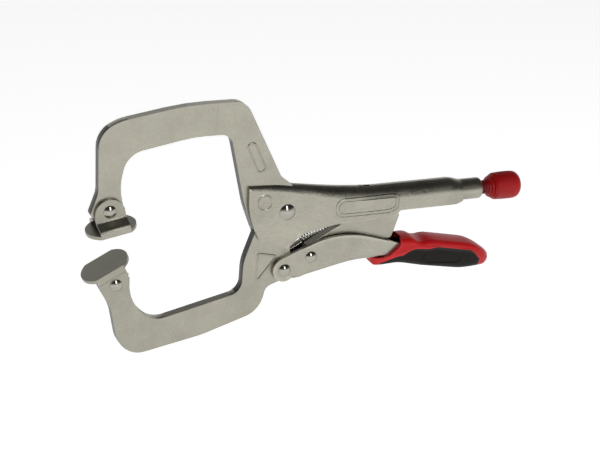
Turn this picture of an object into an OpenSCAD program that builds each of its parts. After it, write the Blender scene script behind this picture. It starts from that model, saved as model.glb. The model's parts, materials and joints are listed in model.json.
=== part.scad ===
// Locking C-clamp pliers with swivel pads.
// X runs along the fixed handle towards the knob, Y along the pivots, Z up.
// The origin is the middle of the fixed jaw's pad face.

/* [Plates and sheet] */
// Thickness of the two jaw plates
jaw_t = 6; // [5:0.5:8]
// Thickness of the sheet in the handles
sheet_t = 2.4; // [2:0.1:3]
// Side gap between a jaw plate and the cheeks around it
side_gap = 0.2; // [0.1:0.05:0.4]

/* [Jaws] */
// From the fixed pad's pivot back to the main pivot
throat = 107.2; // [95:0.1:115]
// Height of the fixed pad's pivot above the main pivot
fixed_tip_z = 10.9; // [8:0.1:14]
// Height of the moving pad's pivot above the main pivot
moving_tip_z = -34.1; // [-38:0.1:-30]
// How far the moving pad's pivot lies in front of the main pivot
moving_tip_x = -103.4; // [-106:0.1:-100]
// Radius of a jaw's rounded nose
nose_r = 9.6; // [8:0.1:9.7]
// Radius of the moving jaw's hub
hub_r = 10.6; // [9:0.1:11]

/* [Pads] */
// Diameter of a pad's round face
pad_d = 29; // [24:0.5:32]
// Width of a pad across its two folds
pad_w = 23.4; // [20:0.2:25]
// Height of a pad's pivot over its face
pad_h = 12.5; // [12:0.1:14]
// Thickness of a pad's sheet
pad_t = 2.1; // [1.5:0.1:2.4]
// Tilt of the fixed jaw's pad
fixed_pad_tilt = 10.2; // [0:0.1:15]
// Tilt of the moving jaw's pad
moving_pad_tilt = 26.7; // [20:0.1:30]

/* [Handle channel] */
// Outer radius of the rounded back of the handle
back_r = 8; // [7.6:0.1:9]
// Where the handle's lower edge steps up
edge_step_x = 72; // [70:0.5:74]
// Where the handle narrows into its collar
collar_x = 113; // [110:0.5:116]
// Where the collar ends
handle_end_x = 131; // [128:0.5:134]
// Outer radius of the collar
collar_r = 6.6; // [6.4:0.1:7]

/* [Linkage] */
// Lever pivot, from the main pivot
lever_pin = [0.1, -37];
// Link pivot, from the main pivot
link_pin = [16.4, -30];
// Middle of the link's rounded rear end, from the main pivot
link_seat = [70, -4.6];
// Gap between the link's rear end and the screw's tip
seat_gap = 1.5; // [1.3:0.1:2]

/* [Adjusting screw] */
// Height of the screw above the main pivot
screw_z = 1; // [0:0.1:2]
// Outer radius of the thread
screw_r = 4.4; // [4:0.05:4.6]
// Pitch of the thread
pitch = 1.5; // [1.25:0.25:2]
// Radius of the knob
knob_r = 8.6; // [8:0.1:10]
// Length of the knob
knob_len = 22.3; // [18:0.1:26]
// Clear length of screw between collar and knob
neck_len = 5.2; // [4:0.1:14]

/* [Lever] */
// Radius of the lever's nose
lever_nose_r = 7.4; // [7:0.1:8]
// Half of the lever's outer width behind its nose
lever_half_w = 6.6; // [6.4:0.1:7.4]
// Half of the grip's width
grip_half_w = 9.6; // [8.5:0.1:10.5]
// Where the grip ends
grip_end_x = 142.5; // [138:0.5:146]

/* [Hidden] */

fine = 64;
// Degrees of turn in each straight step of a rounded corner
arc_step = 6;
big = 400;

// The main pivot, seen from the middle of the fixed pad's face
pivot = [throat - pad_h * sin(fixed_pad_tilt), pad_h * cos(fixed_pad_tilt) - fixed_tip_z];
fixed_tip = [-throat, fixed_tip_z];
moving_tip = [moving_tip_x, moving_tip_z];

cheek_in = jaw_t / 2 + side_gap;
cheek_out = cheek_in + sheet_t;
back_z = screw_z + 0.6;
fit_gap = 0.05;
bush_r = 5.4;

main_pin_r = 4;
rivet_pin_r = 3;
pad_pin_r = 2.6;
flush_pin_r = 4.2;
flush_pin = [-14.6, 7.3];
spring_pin_r = 1.1;
spring_pin_at = [0.1, -25.2];

steel = "#b9b7ab";
bright = "#d8d8d2";
red = "#c0201c";
dark_red = "#8e1210";
black = "#232625";

// ---- helpers ------------------------------------------------------------

function unit(v) = v / norm(v);
function turn(a, b) = a[0] * b[1] - a[1] * b[0];

// One corner q of an outline, rounded to radius r between its neighbours
function corner(p, q, s, r) =
    let(u = unit(p - q), v = unit(s - q),
        half = acos(max(-1, min(1, u * v))) / 2,
        d = r / tan(half),
        c = q + unit(u + v) * r / sin(half),
        from = q + u * d - c,
        sweep = (180 - 2 * half) * sign(turn(-u, v)),
        n = max(1, ceil(abs(sweep) / arc_step)),
        a0 = atan2(from[1], from[0]))
    [for (i = [0 : n]) c + r * [cos(a0 + sweep * i / n), sin(a0 + sweep * i / n)]];

// An outline from corners [x, z, rounding]
function rounded(pts) =
    let(n = len(pts))
    [for (i = [0 : n - 1])
        let(q = pts[i], p = pts[(i + n - 1) % n], s = pts[(i + 1) % n])
        each (q[2] == 0 ? [[q[0], q[1]]]
            : corner([p[0], p[1]], [q[0], q[1]], [s[0], s[1]], q[2]))];

// Points of an arc round c, as outline corners that need no rounding
function arc(c, r, a0, a1) =
    let(n = ceil(abs(a1 - a0) / arc_step))
    [for (i = [0 : n]) let(a = a0 + (a1 - a0) * i / n)
        [c[0] + r * cos(a), c[1] + r * sin(a), 0]];

// Moves the mechanism's own coordinates, centred on the main pivot, into the part's frame
module from_pivot() translate([pivot[0], 0, pivot[1]]) children();

// A plate parallel to XZ, centred on Y = 0
module plate(t) translate([0, t / 2, 0]) rotate([90, 0, 0]) linear_extrude(t) children();

// A prism standing along Z from an XY outline
module prism(z0, z1) translate([0, 0, z0]) linear_extrude(z1 - z0) children();

// A pin or bore along Y at a point [x, z]
module cross_pin(at, r, len) translate([at[0], len / 2, at[1]]) rotate([90, 0, 0])
    cylinder(h = len, r = r, $fn = fine);

// A shallow dome of radius r and height h, standing on Z = 0
module dome(r, h) {
    ball_r = (r * r + h * h) / (2 * h);
    intersection() {
        translate([0, 0, h - ball_r]) sphere(r = ball_r, $fn = fine);
        cylinder(h = h + 1, r = r, $fn = fine);
    }
}

// A rivet along Y: a shank and two domed heads against faces at +-grip
module domed_rivet(at, pin_r, grip, head_r, head_h) {
    cross_pin(at, pin_r, 2 * grip);
    for (side = [-1, 1])
        translate([at[0], side * grip, at[1]]) rotate([-90 * side, 0, 0]) dome(head_r, head_h);
}

// ---- fixed frame ----------------------------------------------------------

// The slot in the handle's back, where the fixed jaw comes through, ends here
mouth_x = 3.6;

fixed_jaw_outline = rounded(concat(
    [[-118.6, 5.6, 2.2], [-117.4, 10.5, 6], [-113.3, 21.5, 16], [-113.3, 56.5, 14.5],
        [-100, 62.4, 26], [-62, 68.6, 150], [-27.5, 68.6, 11], [-3.8, 21.4, 8],
        [mouth_x - 0.3, 15.8, 0], [mouth_x - 0.3, 12.6, 0]],
    arc([0, 0], hub_r + 0.5, 60, 200),
    [[-20.4, -9.6, 0], [-26, 5, 40], [-36.2, 49.8, 7.5], [-58, 49.8, 80], [-97, 42.8, 14],
        [-101.2, 24, 34], [-97.6, 6.6, 1.5]],
    arc(fixed_tip, nose_r, -25, -155)));

module fixed_jaw() color(steel) from_pivot() difference() {
    plate(jaw_t) polygon(fixed_jaw_outline);
    cross_pin(flush_pin, flush_pin_r, jaw_t + 2);
    cross_pin(fixed_tip, pad_pin_r + fit_gap, jaw_t + 2);
}

module fixed_jaw_rivet() color(steel) from_pivot()
    cross_pin(flush_pin, flush_pin_r, 2 * cheek_out);

module main_pivot_rivet() color(bright) from_pivot()
    domed_rivet([0, 0], main_pin_r, cheek_out, 4.9, 2);

// The back's stations: [x, half width, top, corner radius]
back_stations = [[-26, cheek_out, 17.6, 2.6], [-8, cheek_out, 17, 4], [8, cheek_out, 15, 5.2],
    [22, 6.4, 12.9, 6], [38, 7.3, 11, 7], [58, back_r, back_z + back_r, back_r - 0.3],
    [collar_x - 3, back_r, back_z + back_r, back_r - 0.3],
    [collar_x + 5, collar_r + 0.2, screw_z + collar_r + 0.2, collar_r - 0.1]];
section_steps = 10;
section_foot = -30;

// Closed cross-section of the back, from one foot over the top to the other
function back_section(s, shrink) =
    let(w = s[1] - shrink, t = s[2] - shrink, r = max(s[3] - shrink, 0.4),
        turns = [for (i = [0 : section_steps]) 90 * i / section_steps])
    concat([[s[0], -w, section_foot]],
        [for (a = turns) [s[0], -w + r - r * cos(a), t - r + r * sin(a)]],
        [for (a = turns) [s[0], w - r + r * sin(a), t - r + r * cos(a)]],
        [[s[0], w, section_foot]]);

// The back as one loft through its stations, each wall shrunk inwards
module back_loft(shrink, stations) {
    n = len(stations);
    m = 2 * section_steps + 4;
    points = [for (s = stations) each back_section(s, shrink)];
    walls = [for (k = [0 : n - 2], j = [0 : m - 1])
        let(a = k * m + j, b = k * m + (j + 1) % m)
        each [[a, b, b + m], [a, b + m, a + m]]];
    ends = [[for (j = [m - 1 : -1 : 0]) j], [for (j = [0 : m - 1]) (n - 1) * m + j]];
    polyhedron(points = points, faces = concat(walls, ends), convexity = 6);
}

// The hollow runs a little past the nose and stops short of the collar
hollow_stations = [for (i = [0 : len(back_stations) - 2])
    let(s = back_stations[i])
    [i == 0 ? s[0] - 1 : i == len(back_stations) - 2 ? collar_x - 1 : s[0], s[1], s[2], s[3]]];

handle_side = rounded([
    [-24.4, 30, 0], [-24.4, 2, 40], [-17, -16.8, 4], [1.2, -23.4, 1.5], [10, -15.2, 14],
    [30, -10.6, 60], [edge_step_x - 1, -8.4, 1.5], [edge_step_x + 1.5, -5.4, 1.5],
    [collar_x, -5.4, 4], [collar_x + 4, -4.2, 2], [collar_x + 4, 30, 0]]);

module handle_channel() color(steel) from_pivot() difference() {
    union() {
        intersection() {
            difference() {
                back_loft(0, back_stations);
                back_loft(sheet_t, hollow_stations);
                // mouth at the front, where the jaw plates come in
                translate([-30, -cheek_in, -30]) cube([30 + mouth_x, 2 * cheek_in, 60]);
            }
            plate(40) polygon(handle_side);
        }
        translate([collar_x - 1, 0, screw_z]) rotate([0, 90, 0])
            cylinder(h = handle_end_x - collar_x + 1, r = collar_r, $fn = fine);
    }
    // seat of the threaded bush
    translate([collar_x - 2, 0, screw_z]) rotate([0, 90, 0])
        cylinder(h = big, r = bush_r, $fn = fine);
    // slot that holds the spring's rear hook
    translate([50.5, -1.2, 4]) cube([4.5, 2.4, 12]);
    cross_pin([0, 0], main_pin_r, 40);
    cross_pin(flush_pin, flush_pin_r, 40);
}

module threaded_bush() color(bright) from_pivot()
    translate([collar_x - 1, 0, screw_z]) rotate([0, 90, 0]) difference() {
        cylinder(h = handle_end_x - collar_x + 1, r = bush_r, $fn = fine);
        translate([0, 0, -1]) cylinder(h = big, r = screw_r + fit_gap, $fn = fine);
    }

// ---- return spring ----------------------------------------------------------

spring_wire_r = 0.55;
spring_coil_r = 2.3;
spring_turns = 20;
spring_steps = 10;
spring_sides = 6;
spring_from = [11.6, -20.2];
spring_to = [44, -4.2];
spring_slope = atan2(spring_to[1] - spring_from[1], spring_to[0] - spring_from[0]);
spring_len = norm(spring_to - spring_from);
// The hook's loop is longer than its pin is thick, so that the jaw can open
hook_r = 2.5;
hook_z = -12.4;
hook_leg = 5;

// The spring runs along its own axis Z, and X points to its lower side
hook_path = concat([[-hook_r, 0, hook_z + hook_leg]],
    [for (a = [0 : 30 : 180]) [-hook_r * cos(a), 0, hook_z - hook_r * sin(a)]],
    [[hook_r, 0, -1.4]]);
coil_path = [for (k = [0 : spring_turns * spring_steps])
    let(a = 360 * k / spring_steps)
    [spring_coil_r * cos(a), spring_coil_r * sin(a),
        spring_len * k / (spring_turns * spring_steps)]];
leg_path = [for (p = [[1, 1.4], [0, 3], [-1.5, 5.5], [-4.5, 9.5], [-7.9, 13.4]]) [p[0], 0, spring_len + p[1]]];
spring_path = concat(hook_path, coil_path, leg_path);

// One ring of wire round point k: the hooks bend in one plane, and the coil turns round Z
function wire_ring(k) =
    let(last = len(spring_path) - 1,
        t = unit(spring_path[min(k + 1, last)] - spring_path[max(k - 1, 0)]),
        flat = k < len(hook_path) || k > last - len(leg_path),
        side = unit(flat ? cross([0, 1, 0], t) : cross(t, [0, 0, 1])),
        up = cross(t, side))
    [for (j = [0 : spring_sides - 1])
        let(a = 360 * j / spring_sides)
        spring_path[k] + spring_wire_r * (cos(a) * side + sin(a) * up)];

module return_spring() color(bright) from_pivot()
    translate([spring_from[0], 0, spring_from[1]]) rotate([0, 90 - spring_slope, 0]) {
        n = len(spring_path);
        m = spring_sides;
        points = [for (k = [0 : n - 1]) each wire_ring(k)];
        walls = [for (k = [0 : n - 2], j = [0 : m - 1])
            let(a = k * m + j, b = k * m + (j + 1) % m)
            each [[a, b + m, b], [a, a + m, b + m]]];
        ends = [[for (j = [0 : m - 1]) j], [for (j = [m - 1 : -1 : 0]) (n - 1) * m + j]];
        polyhedron(points = points, faces = concat(walls, ends), convexity = 10);
    }

// ---- swivel pads --------------------------------------------------------------

// A pad in its own place: pivot at the origin, face below at Z = -pad_h
pad_ear_w = 17.4;
pad_ear_r = 8.7;
// The ears' rounded tops are centred this far below the pivot
pad_ear_drop = 1.6;
pad_side_h = 3.4;
pad_waist_h = 5.8;

module pad_body() difference() {
    union() {
        translate([0, 0, -pad_h]) intersection() {
            cylinder(h = pad_t, d = pad_d, $fn = fine);
            translate([-pad_d, -pad_w / 2, -1]) cube([2 * pad_d, pad_w, pad_t + 2]);
        }
        // both folds, each one sheet thick, cut to the rounded ear
        intersection() {
            for (side = [-1, 1]) scale([1, side, 1]) rotate([90, 0, 90])
                translate([0, 0, -pad_ear_w / 2]) linear_extrude(pad_ear_w)
                    polygon(pad_fold);
            union() {
                plate(2 * pad_w) translate([0, -pad_ear_drop]) circle(r = pad_ear_r, $fn = fine);
                translate([-pad_ear_w / 2, -pad_w, -pad_h - 1])
                    cube([pad_ear_w, 2 * pad_w, pad_h + 1]);
            }
        }
    }
    cross_pin([0, 0], pad_pin_r, 2 * pad_w);
}

// Half cross-section of a fold: out from the face, up, in to the waist and up the ear
pad_fold = rounded([
    [cheek_in, 9, 0], [cheek_in, -pad_h + pad_waist_h, 1], [pad_w / 2 - pad_t, -pad_h + pad_side_h, 1],
    [pad_w / 2 - pad_t, -pad_h, 0], [pad_w / 2, -pad_h, 0],
    [pad_w / 2, -pad_h + pad_side_h + 1.2, 2.2], [cheek_in + pad_t, -pad_h + pad_waist_h + 1.4, 2],
    [cheek_in + pad_t, 9, 0]]);

module pad_rivet() domed_rivet([0, 0], pad_pin_r, cheek_in + pad_t, 3.7, 1.6);

module on_fixed_tip() from_pivot() translate([fixed_tip[0], 0, fixed_tip[1]])
    rotate([0, -fixed_pad_tilt, 0]) children();

module on_moving_tip() from_pivot() translate([moving_tip[0], 0, moving_tip[1]])
    rotate([0, 180 - moving_pad_tilt, 0]) children();

module fixed_pad() color(steel) on_fixed_tip() pad_body();
module fixed_pad_rivet() color(bright) on_fixed_tip() pad_rivet();
module moving_pad() color(steel) on_moving_tip() pad_body();
module moving_pad_rivet() color(bright) on_moving_tip() pad_rivet();

// ---- moving jaw -----------------------------------------------------------------

moving_jaw_outline = rounded(concat(
    arc(lever_pin, lever_nose_r - 0.6, -60, 30),
    [[3.6, -24, 6], [9.4, -6, 1]],
    arc([0, 0], hub_r, 0, 205),
    [[-18.8, -11.9, 2], [-25.4, -30, 30], [-25.8, -48.9, 9], [-80, -60.6, 14],
        [-95, -47, 26], [-94.6, -29, 1.5]],
    arc(moving_tip, nose_r, 30, 170),
    [[-112.8, -35.5, 2], [-105.8, -49, 25], [-101.6, -72, 17], [-91.5, -80.6, 14],
        [-50, -73.4, 60], [-14, -62.6, 16], [-10.4, -47.5, 6]]));

module moving_jaw() color(steel) from_pivot() difference() {
    plate(jaw_t) polygon(moving_jaw_outline);
    cross_pin([0, 0], main_pin_r + fit_gap, jaw_t + 2);
    cross_pin(lever_pin, rivet_pin_r, jaw_t + 2);
    cross_pin(moving_tip, pad_pin_r + fit_gap, jaw_t + 2);
    cross_pin(spring_pin_at, spring_pin_r, jaw_t + 2);
    // slit for the spring's front hook
    translate([spring_pin_at[0] - 7.2, -1, spring_pin_at[1] - 4.4]) cube([20, 2, 10]);
}

module spring_pin() color(bright) from_pivot() cross_pin(spring_pin_at, spring_pin_r, jaw_t);

module lever_rivet() color(bright) from_pivot()
    domed_rivet(lever_pin, rivet_pin_r, cheek_out + fit_gap, 3.8, 1.9);

// ---- lever ------------------------------------------------------------------------

lever_core_end = 124;
web_x = 9.5;
lever_top_slope = 22.8;

lever_side = rounded(concat(
    arc(lever_pin, lever_nose_r, 290, 90 + lever_top_slope),
    [[33.7, -14.9, 58], [78, -28.4, 60], [lever_core_end, -37, 2], [lever_core_end, -42.6, 2],
        [48, -34.9, 80], [web_x, -42.6, 1], [7.2, -41.3, 2]]));

// Above this line the lever is hollow
lever_hollow = [[-20, -60], [web_x, -60], [web_x, -42.6 + sheet_t], [48, -35.4 + sheet_t],
    [big, -35.4 + sheet_t - (big - 48) * 0.11], [big, 60], [-20, 60]];

// Plan of the lever, half width h behind the nose and n at the nose
module lever_plan(n, h) polygon([
    [-20, -n], [9, -n], [14, -h], [big, -h], [big, h], [14, h], [9, n], [-20, n]]);

module lever_envelope(n, h) intersection() {
    plate(40) polygon(lever_side);
    prism(-60, 0) lever_plan(n, h);
}

module lever_channel() color(steel) from_pivot() difference() {
    lever_envelope(cheek_out, lever_half_w);
    intersection() {
        plate(50) polygon(lever_hollow);
        prism(-70, 10) lever_plan(cheek_in, lever_half_w - sheet_t);
    }
    cross_pin(lever_pin, rivet_pin_r + fit_gap, 30);
    cross_pin(link_pin, rivet_pin_r, 30);
}

module link_rivet() color(bright) from_pivot()
    domed_rivet(link_pin, rivet_pin_r, lever_half_w, 3.6, 1.8);

grip_side = rounded([
    [75.5, -24, 1.5], [84, -24.4, 8], [90, -27.6, 10], [97, -26.6, 18],
    [129, -33.2, 22], [grip_end_x, -43.4, 4], [grip_end_x - 2.4, -49.2, 3],
    [119, -49.4, 40], [92, -44.4, 30], [76, -40.6, 30], [57.5, -41, 3], [55, -35.9, 0.8],
    [67, -35.4, 9], [75.2, -28.6, 5]]);

grip_plan = [for (side = [1, -1]) each [for (p = side == 1
    ? [[54, 7.8], [66, 8.4], [82, grip_half_w], [124, grip_half_w], [136, 8.2], [grip_end_x, 4.5]]
    : [[grip_end_x, 4.5], [136, 8.2], [124, grip_half_w], [82, grip_half_w], [66, 8.4], [54, 7.8]])
    [p[0], side * p[1]]]];

// The dark insert takes the underside and lower flanks
insert_side = rounded([
    [62, -39.6, 0], [72, -37.8, 10], [83.5, -30.8, 12], [95, -32.4, 20], [103, -31.2, 14],
    [126, -36.6, 12], [132.5, -45, 4], [131, -60, 0], [62, -60, 0]]);

module grip_blank() difference() {
    intersection() {
        plate(40) polygon(grip_side);
        prism(-60, 0) polygon(grip_plan);
    }
    lever_envelope(cheek_out, lever_half_w);
}

module grip_shell() color(red) from_pivot() difference() {
    grip_blank();
    plate(50) polygon(insert_side);
}

module grip_insert() color(black) from_pivot() intersection() {
    grip_blank();
    plate(50) polygon(insert_side);
}

// ---- link --------------------------------------------------------------------------

link_t = 6;
link_end_r = 3.8;

link_outline = rounded(concat(
    [[14, -24.6, 5.5], [38, -11.6, 12], [54, -3.8, 10]],
    arc(link_seat, link_end_r, 90, -30),
    [[75.6, -10.4, 1.5], [71, -24.8, 3], [40, -29.4, 30], [20, -35.4, 6],
        [10.4, -33.6, 5.5]]));

module toggle_link() color(steel) from_pivot() difference() {
    plate(link_t) polygon(link_outline);
    cross_pin(link_pin, rivet_pin_r + fit_gap, link_t + 2);
}

// ---- adjusting screw -----------------------------------------------------------------

screw_tip_x = link_seat[0] + link_end_r + seat_gap;
knob_x = handle_end_x + neck_len;
knob_hole = 9;

module adjusting_screw() color(dark_red) from_pivot()
    translate([screw_tip_x, 0, screw_z]) rotate([0, 90, 0]) {
        cylinder(h = 1, r1 = screw_r - 1, r2 = screw_r, $fn = fine);
        translate([0, 0, 1]) cylinder(h = knob_x - screw_tip_x - 1, r = screw_r, $fn = fine);
        translate([0, 0, knob_x - screw_tip_x])
            cylinder(h = knob_hole - 1, r = screw_r - 1.5, $fn = fine);
    }

knob_profile = rounded([
    [0, 0, 0], [5.2, 0, 0.6], [5.4, 1.4, 0], [6.6, 1.5, 0.5], [7.2, 3.2, 0], [knob_r - 0.15, 5.2, 1.5],
    [knob_r, knob_len, 4.4], [0, knob_len, 0]]);

module screw_knob() color(red) from_pivot()
    translate([knob_x + 0.1, 0, screw_z]) rotate([0, 90, 0]) difference() {
        rotate_extrude($fn = fine) polygon(knob_profile);
        translate([0, 0, -1]) cylinder(h = knob_hole + 1, r = screw_r - 1.5 + fit_gap, $fn = fine);
    }

handle_channel();
fixed_jaw();
fixed_jaw_rivet();
main_pivot_rivet();
threaded_bush();
return_spring();
fixed_pad();
fixed_pad_rivet();
moving_jaw();
spring_pin();
lever_rivet();
moving_pad();
moving_pad_rivet();
lever_channel();
link_rivet();
grip_shell();
grip_insert();
toggle_link();
adjusting_screw();
screw_knob();
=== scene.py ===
"""Locking C-clamp pliers with swivel pads: the looks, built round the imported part.

Shapes are drawn in millimetres from the main pivot (X along the fixed handle, Z up) and then
moved into the part's own frame, in metres, by to_frame().
"""

import json
from math import acos, atan2, ceil, cos, degrees, pi, radians, sin, sqrt, tan

import bmesh
import bpy
import numpy as np
from mathutils import Matrix, Vector


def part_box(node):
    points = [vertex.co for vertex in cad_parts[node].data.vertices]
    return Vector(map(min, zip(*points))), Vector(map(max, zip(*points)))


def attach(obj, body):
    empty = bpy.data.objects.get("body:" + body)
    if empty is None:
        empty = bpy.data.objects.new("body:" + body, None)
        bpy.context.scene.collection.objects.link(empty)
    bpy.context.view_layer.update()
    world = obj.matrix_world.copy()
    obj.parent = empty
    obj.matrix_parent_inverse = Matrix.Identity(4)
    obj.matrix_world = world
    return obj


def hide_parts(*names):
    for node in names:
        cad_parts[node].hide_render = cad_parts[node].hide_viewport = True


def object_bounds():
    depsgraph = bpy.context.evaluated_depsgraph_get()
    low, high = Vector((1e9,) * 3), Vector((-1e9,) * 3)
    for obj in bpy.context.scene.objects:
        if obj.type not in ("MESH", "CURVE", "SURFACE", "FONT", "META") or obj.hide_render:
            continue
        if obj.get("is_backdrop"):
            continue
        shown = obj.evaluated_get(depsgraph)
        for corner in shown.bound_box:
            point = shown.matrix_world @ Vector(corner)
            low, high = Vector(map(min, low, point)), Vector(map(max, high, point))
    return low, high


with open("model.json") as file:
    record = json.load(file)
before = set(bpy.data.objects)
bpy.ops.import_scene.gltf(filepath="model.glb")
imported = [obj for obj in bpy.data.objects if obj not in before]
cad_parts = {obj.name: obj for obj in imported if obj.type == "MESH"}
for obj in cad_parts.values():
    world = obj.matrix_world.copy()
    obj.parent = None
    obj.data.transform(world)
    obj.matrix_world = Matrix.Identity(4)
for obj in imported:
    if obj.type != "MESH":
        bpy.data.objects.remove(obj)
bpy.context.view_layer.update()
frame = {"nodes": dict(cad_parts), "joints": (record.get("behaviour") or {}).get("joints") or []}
joint = {j["name"]: j for j in frame["joints"]}
PIVOT = Vector(joint["jaw_hinge"]["pos_m"])


def at_joint(name):
    """A joint's place [x, z] in millimetres from the main pivot."""
    p = (Vector(joint[name]["pos_m"]) - PIVOT) * 1000
    return [p.x, p.z]


LEVER_PIN = at_joint("lever_hinge")
SCREW_Z = at_joint("knob_turn")[1]
JAW_T = (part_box("fixed_jaw")[1].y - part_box("fixed_jaw")[0].y) * 1000
CHEEK_IN = JAW_T / 2 + 0.2
SHEET = 2.4
CHEEK_OUT = CHEEK_IN + SHEET


def to_frame(p):
    """A point in millimetres from the main pivot, in the frame's metres."""
    return (p[0] / 1000 + PIVOT.x, p[1] / 1000, p[2] / 1000 + PIVOT.z)


def x_of(node, end):
    """A node's lowest (0) or highest (1) X, in millimetres from the main pivot."""
    return (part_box(node)[end].x - PIVOT.x) * 1000


# ---- outlines ---------------------------------------------------------------------------

def unit(v):
    return v / np.linalg.norm(v)


def rounded(corners, step=5, closed=True):
    """Points of an outline from corners [x, z, rounding]."""
    out, n = [], len(corners)
    for i, c in enumerate(corners):
        q = np.array(c[:2], float)
        r = c[2] if len(c) > 2 else 0
        if r == 0 or (not closed and i in (0, n - 1)):
            out.append(q)
            continue
        p, s = (np.array(corners[k % n][:2], float) for k in (i - 1, i + 1))
        u, v = unit(p - q), unit(s - q)
        half = acos(max(-1, min(1, float(u @ v)))) / 2
        centre = q + unit(u + v) * r / sin(half)
        start = q + u * r / tan(half) - centre
        sweep = (pi - 2 * half) * (1 if -u[0] * v[1] + u[1] * v[0] > 0 else -1)
        a0, m = atan2(start[1], start[0]), max(2, ceil(degrees(abs(sweep)) / step))
        out += [centre + r * np.array([cos(a0 + sweep * k / m), sin(a0 + sweep * k / m)])
                for k in range(m + 1)]
    return np.array(out)


def arc(c, r, a0, a1, n=24):
    return [[c[0] + r * cos(radians(a)), c[1] + r * sin(radians(a))] for a in np.linspace(a0, a1, n)]


def resample(path, n=None, step=None, closed=False):
    """Evenly spaced points along a path."""
    p = np.array(path, float)
    if closed:
        p = np.vstack([p, p[:1]])
    s = np.concatenate([[0], np.cumsum(np.linalg.norm(np.diff(p, axis=0), axis=1))])
    n = n or max(2, int(s[-1] / step)) + 1
    t = np.linspace(0, s[-1], n)
    out = np.stack([np.interp(t, s, p[:, k]) for k in range(p.shape[1])], 1)
    return out[:-1] if closed else out


def smooth_at(table, x):
    """Rows [x, a, b, ...] read at x, smoothly and with no overshoot."""
    t = np.array(table, float)
    d = np.diff(t[:, 1:], axis=0) / np.diff(t[:, 0])[:, None]
    m = np.zeros_like(t[:, 1:])
    same = d[1:] * d[:-1] > 0
    m[1:-1][same] = (2 * d[1:] * d[:-1] / (d[1:] + d[:-1] + 1e-12))[same]
    m[0], m[-1] = d[0], d[-1]
    x = min(max(x, t[0, 0]), t[-1, 0])
    k = min(max(int(np.searchsorted(t[:, 0], x)) - 1, 0), len(t) - 2)
    h = t[k + 1, 0] - t[k, 0]
    u = (x - t[k, 0]) / h
    return ((1 + 2 * u) * (1 - u) ** 2 * t[k, 1:] + u * (1 - u) ** 2 * h * m[k]
            + u * u * (3 - 2 * u) * t[k + 1, 1:] + u * u * (u - 1) * h * m[k + 1])


def smoothstep(t):
    t = min(max(t, 0.0), 1.0)
    return t * t * (3 - 2 * t)


def patch(bottom, top, left, right):
    """A grid between four curves.

    bottom and top have one point per column, left and right one per row.
    """
    span = bottom[:, 0] - bottom[0, 0]
    u = (span / span[-1])[:, None, None]
    v = np.linspace(0, 1, len(left))[None, :, None]
    b, t, l, r = bottom[:, None], top[:, None], left[None], right[None]
    corners = ((1 - u) * (1 - v) * bottom[0] + u * v * top[-1]
               + u * (1 - v) * bottom[-1] + (1 - u) * v * top[0])
    return (1 - v) * b + v * t + (1 - u) * l + u * r - corners


# ---- meshes -------------------------------------------------------------------------------

MM2_IN_M2 = 1e6


def shell(outer, inner, mask, first_rim=True):
    """A sheet between two grids [column][row][xyz], where mask says which cells exist.

    Its rims are closed, but for the last row and, without first_rim, the first, which meet
    the other half's in both_sides().
    """
    nc, nr = outer.shape[:2]
    verts = np.concatenate([outer.reshape(-1, 3), inner.reshape(-1, 3)])

    def o(i, j):
        return i * nr + j

    def n(i, j):
        return nc * nr + i * nr + j

    faces = []
    for i in range(nc - 1):
        for j in range(nr - 1):
            if not mask[i][j]:
                continue
            faces.append((o(i, j), o(i + 1, j), o(i + 1, j + 1), o(i, j + 1)))
            faces.append((n(i, j + 1), n(i + 1, j + 1), n(i + 1, j), n(i, j)))
            for (di, dj, a, b) in ((-1, 0, (i, j + 1), (i, j)), (1, 0, (i + 1, j), (i + 1, j + 1)),
                                   (0, -1, (i, j), (i + 1, j)), (0, 1, (i + 1, j + 1), (i, j + 1))):
                ii, jj = i + di, j + dj
                if jj >= nr - 1 or (jj < 0 and not first_rim):
                    continue
                inside = 0 <= ii < nc - 1 and 0 <= jj < nr - 1 and mask[ii][jj]
                if not inside:
                    faces.append((o(*b), o(*a), n(*a), n(*b)))
    return verts, faces


def both_sides(part):
    """A half shell on the near side (Y below 0) and its mirror image, as one."""
    verts, faces = part
    far = verts * [1, -1, 1]
    return (np.concatenate([verts, far]),
            faces + [tuple(len(verts) + k for k in reversed(f)) for f in faces])


def lathe(profile, centre, axis, turns=64, bumps=None):
    """Turns [along, radius] points round an axis through centre.

    bumps(angle, along), where given, is added to the radius.
    """
    axis = Vector(axis).normalized()
    side = axis.orthogonal().normalized()
    up = axis.cross(side)
    verts, faces, m = [], [], len(profile)
    for i in range(turns):
        a = 2 * pi * i / turns
        for s, r in profile:
            r = max(r + (bumps(a, s) if bumps and r > 0.5 else 0), 0)
            verts.append(Vector(centre) + axis * s + (side * cos(a) + up * sin(a)) * r)
    for i in range(turns):
        for k in range(m - 1):
            a, b = i * m + k, (i + 1) % turns * m + k
            faces.append((a, b, b + 1, a + 1))
    return np.array([list(v) for v in verts]), faces


def tube(path, radius, sides=12):
    """A round wire along a path, with closed ends."""
    p = np.array(path, float)
    t = np.gradient(p, axis=0)
    t /= np.linalg.norm(t, axis=1)[:, None]
    ref = np.array([0.0, 1.0, 0.0])
    verts, faces = [], []
    for k in range(len(p)):
        ref = ref - t[k] * (ref @ t[k])
        ref /= np.linalg.norm(ref)
        b = np.cross(t[k], ref)
        verts += [p[k] + radius * (cos(a) * ref + sin(a) * b)
                  for a in 2 * pi * np.arange(sides) / sides]
    for k in range(len(p) - 1):
        for j in range(sides):
            a, b = k * sides + j, k * sides + (j + 1) % sides
            faces.append((a, b, b + sides, a + sides))
    faces += [tuple(range(sides - 1, -1, -1)), tuple((len(p) - 1) * sides + j for j in range(sides))]
    return np.array(verts), faces


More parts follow.
